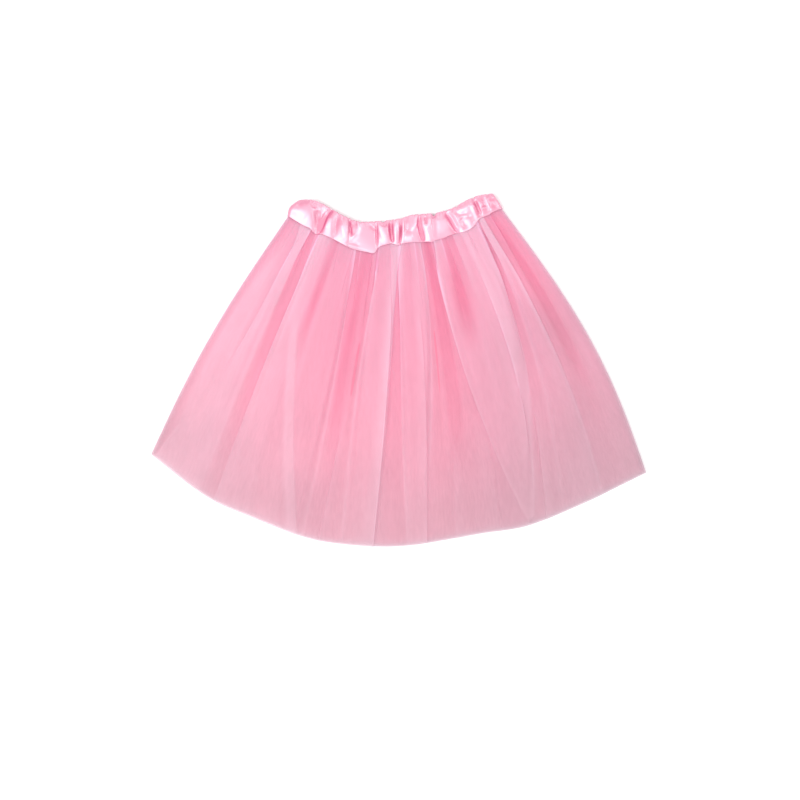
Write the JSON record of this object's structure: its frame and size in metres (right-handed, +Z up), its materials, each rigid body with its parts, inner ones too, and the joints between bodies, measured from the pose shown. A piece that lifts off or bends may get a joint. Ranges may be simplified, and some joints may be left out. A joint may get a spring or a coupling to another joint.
{
  "type": "tulle skirt",
  "caption": "Child's gathered tulle skirt laid flat, with a ruched satin elastic waistband over fanning tulle layers and a curved hem",
  "frame": {"origin": "middle of the footprint, on the surface that the skirt lies on", "axes": "+X to the right across the front, +Y from the hem to the waist, +Z up from the surface"},
  "size_m": [0.4584, 0.3264, 0.0135],
  "materials": {
    "satin": "glossy pink satin, ruched over elastic",
    "outer_tulle": "sheer pale pink net with a soft sheen",
    "inner_tulle": "sheer pink net, deeper where it is layered"
  },
  "bodies": {
    "root": {"waistband": "satin", "outer_tulle": "outer_tulle", "inner_tulle": "inner_tulle"}
  },
  "joints": []
}
